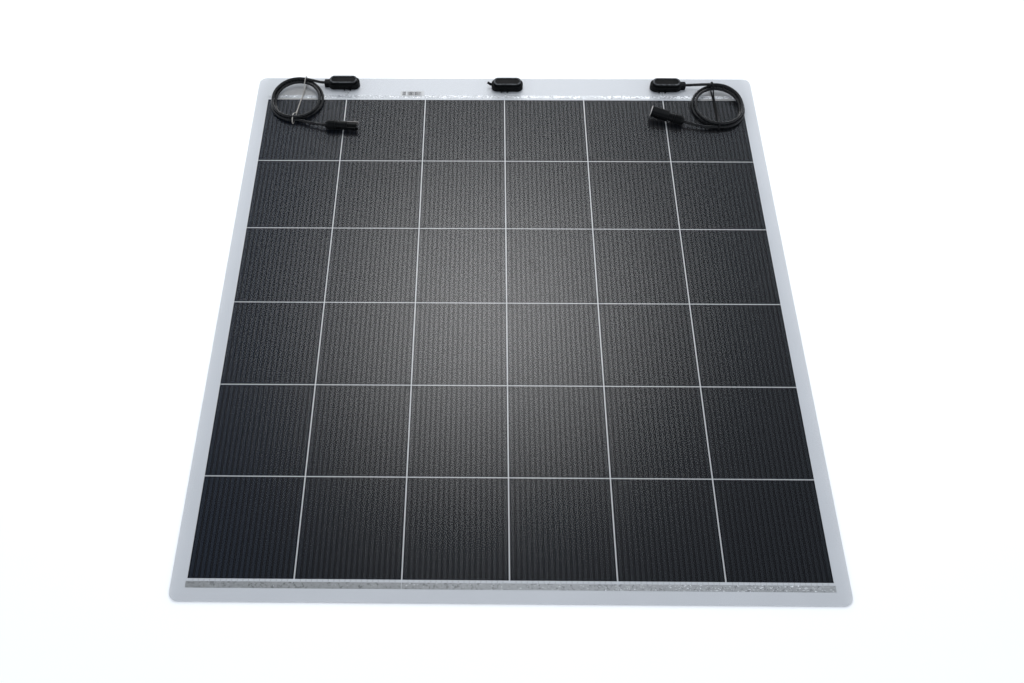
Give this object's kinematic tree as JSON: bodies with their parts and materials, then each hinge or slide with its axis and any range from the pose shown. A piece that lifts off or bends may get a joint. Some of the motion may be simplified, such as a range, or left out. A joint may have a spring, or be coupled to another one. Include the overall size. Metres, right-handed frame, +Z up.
{
  "type": "flexible solar sheet",
  "caption": "Thin semi-flexible solar sheet of dark square cells on a white backing, with small junction boxes, coiled leads and plug-in connectors along one edge.",
  "frame": {"origin": "under the middle of the sheet, at the level it rests on", "axes": "+Z up out of the cells' side, +Y towards the edge with the junction boxes, +X to the right seen from the opposite edge"},
  "size_m": [1.056, 1.103, 0.0283],
  "materials": {
    "back_sheet": "satin white",
    "encapsulant": "clear",
    "front_film": "clear, fine satin texture",
    "cells": "dark blue-black silicon",
    "cell_wires": "dull dark wire",
    "ribbons": "tinned",
    "label": "printed",
    "box": "moulded black",
    "lid": "moulded black",
    "plug_rubber": "moulded black",
    "silicone": "cured silicone",
    "copper_rail": "rolled copper",
    "diode": "moulded",
    "seal": "moulded",
    "cable": "satin jacket",
    "grey_tie": "satin",
    "black_tie": "satin",
    "connector": "moulded black",
    "contact": "tinned"
  },
  "bodies": {
    "row_1": {"back_sheet_1": "back_sheet", "encapsulant_1": "encapsulant", "front_film_1": "front_film", "cells_1": "cells", "cell_wires_1": "cell_wires", "top_bus_ribbons": "ribbons", "serial_label": "label", "left_box_base": "box", "middle_box_base": "box", "right_box_base": "box", "blind_plug": "plug_rubber", "box_silicone": "silicone", "terminal_rails": "copper_rail", "bypass_diodes": "diode", "cable_seals": "seal", "left_lead_start": "cable", "left_lead_coil": "cable", "left_lead_end": "cable", "left_tie": "grey_tie", "right_lead_start": "cable", "right_lead_coil": "cable", "right_lead_end": "cable", "right_tie": "black_tie", "socket_housing": "connector", "socket_contact": "contact", "plug_housing": "connector", "plug_pin": "contact"},
    "row_2": {"back_sheet_2": "back_sheet", "encapsulant_2": "encapsulant", "front_film_2": "front_film", "cells_2": "cells", "cell_wires_2": "cell_wires"},
    "row_3": {"back_sheet_3": "back_sheet", "encapsulant_3": "encapsulant", "front_film_3": "front_film", "cells_3": "cells", "cell_wires_3": "cell_wires"},
    "row_4": {"back_sheet_4": "back_sheet", "encapsulant_4": "encapsulant", "front_film_4": "front_film", "cells_4": "cells", "cell_wires_4": "cell_wires"},
    "row_5": {"back_sheet_5": "back_sheet", "encapsulant_5": "encapsulant", "front_film_5": "front_film", "cells_5": "cells", "cell_wires_5": "cell_wires"},
    "row_6": {"back_sheet_6": "back_sheet", "encapsulant_6": "encapsulant", "front_film_6": "front_film", "cells_6": "cells", "cell_wires_6": "cell_wires", "low_bus_ribbons": "ribbons"},
    "left_lid": {"left_box_lid": "lid"},
    "middle_lid": {"middle_box_lid": "lid"},
    "right_lid": {"right_box_lid": "lid"},
    "socket_nut": {"socket_nut": "connector"},
    "plug_nut": {"plug_nut": "connector"},
    "near_latch": {"near_latch": "connector"},
    "far_latch": {"far_latch": "connector"}
  },
  "joints": [
    {"name": "bend_1", "type": "hinge", "parent": "row_1", "child": "row_2", "pos_m": [0, 0.3225, 0.00125], "axis": [-1, 0, 0], "range_deg": [0, 6], "stiffness_Nm_per_rad": 41},
    {"name": "bend_2", "type": "hinge", "parent": "row_2", "child": "row_3", "pos_m": [0, 0.1545, 0.00125], "axis": [-1, 0, 0], "range_deg": [0, 6], "stiffness_Nm_per_rad": 41},
    {"name": "bend_3", "type": "hinge", "parent": "row_3", "child": "row_4", "pos_m": [0, -0.0135, 0.00125], "axis": [-1, 0, 0], "range_deg": [0, 6], "stiffness_Nm_per_rad": 41},
    {"name": "bend_4", "type": "hinge", "parent": "row_4", "child": "row_5", "pos_m": [0, -0.1815, 0.00125], "axis": [-1, 0, 0], "range_deg": [0, 6], "stiffness_Nm_per_rad": 41},
    {"name": "bend_5", "type": "hinge", "parent": "row_5", "child": "row_6", "pos_m": [0, -0.3495, 0.00125], "axis": [-1, 0, 0], "range_deg": [0, 6], "stiffness_Nm_per_rad": 41},
    {"name": "left_lid_lift", "type": "slide", "parent": "row_1", "child": "left_lid", "axis": [0, 0, 1], "range_m": [0, 0.03]},
    {"name": "middle_lid_lift", "type": "slide", "parent": "row_1", "child": "middle_lid", "axis": [0, 0, 1], "range_m": [0, 0.03]},
    {"name": "right_lid_lift", "type": "slide", "parent": "row_1", "child": "right_lid", "axis": [0, 0, 1], "range_m": [0, 0.03]},
    {"name": "socket_nut_turn", "type": "hinge", "parent": "row_1", "child": "socket_nut", "pos_m": [-0.36151, 0.40858, 0.0125], "axis": [0.9991, -0.0419, 0], "range_deg": [0, 540]},
    {"name": "plug_nut_turn", "type": "hinge", "parent": "row_1", "child": "plug_nut", "pos_m": [0.36104, 0.42407, 0.01351], "axis": [-0.9462, 0.3074, 0.1011], "range_deg": [0, 540]},
    {"name": "near_latch_press", "type": "hinge", "parent": "row_1", "child": "near_latch", "pos_m": [-0.33586, 0.39965, 0.0125], "axis": [0, 0, 1], "range_deg": [0, 4], "stiffness_Nm_per_rad": 0.5},
    {"name": "far_latch_press", "type": "hinge", "parent": "row_1", "child": "far_latch", "pos_m": [-0.3352, 0.41534, 0.0125], "axis": [0, 0, -1], "range_deg": [0, 4], "stiffness_Nm_per_rad": 0.5}
  ]
}
